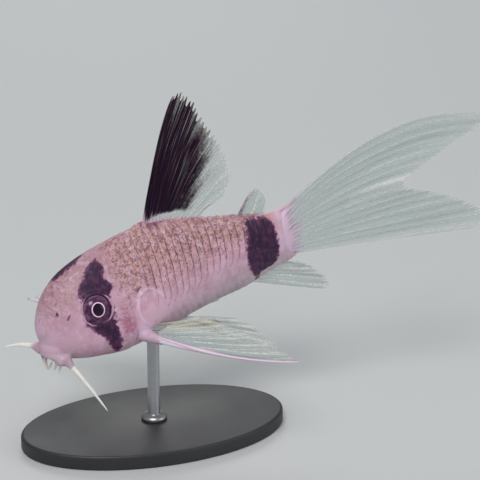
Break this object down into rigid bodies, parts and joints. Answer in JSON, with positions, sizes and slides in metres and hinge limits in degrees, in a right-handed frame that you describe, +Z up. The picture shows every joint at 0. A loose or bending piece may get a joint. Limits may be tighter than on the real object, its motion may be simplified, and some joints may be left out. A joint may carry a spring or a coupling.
{
  "type": "corydoras catfish",
  "caption": "Life-size panda corydoras catfish with long veil fins, swimming nose down on a plain rod and oval base.",
  "frame": {"origin": "middle of the underside of the stand's oval base", "axes": "+Z up, the fish heads along -X with its tail towards +X, and its left side faces -Y"},
  "size_m": [0.0745, 0.0399, 0.0509],
  "materials": {
    "flesh": "wet satin skin",
    "scutes": "wet satin plates",
    "eye": "clear gloss",
    "clear_fin": "clear membrane",
    "dark_fin": "dark membrane",
    "barbel": "soft satin",
    "base": "satin black",
    "steel": "brushed"
  },
  "bodies": {
    "root": {"head": "flesh", "trunk": "scutes", "tail_stalk": "scutes", "eye_left": "eye", "eye_right": "eye", "dorsal_fin": "dark_fin", "adipose_fin": "clear_fin", "anal_fin": "clear_fin", "tail_fin_upper_lobe": "clear_fin", "tail_fin_lower_lobe": "clear_fin", "pectoral_fin_left": "clear_fin", "pectoral_fin_right": "clear_fin", "pelvic_fin_left": "clear_fin", "pelvic_fin_right": "clear_fin", "barbel_maxillary_left": "barbel", "barbel_maxillary_right": "barbel", "barbel_rictal_left": "barbel", "barbel_rictal_right": "barbel", "barbel_chin_left": "barbel", "barbel_chin_right": "barbel", "stand_base": "base", "stand_rod": "steel"}
  },
  "joints": []
}
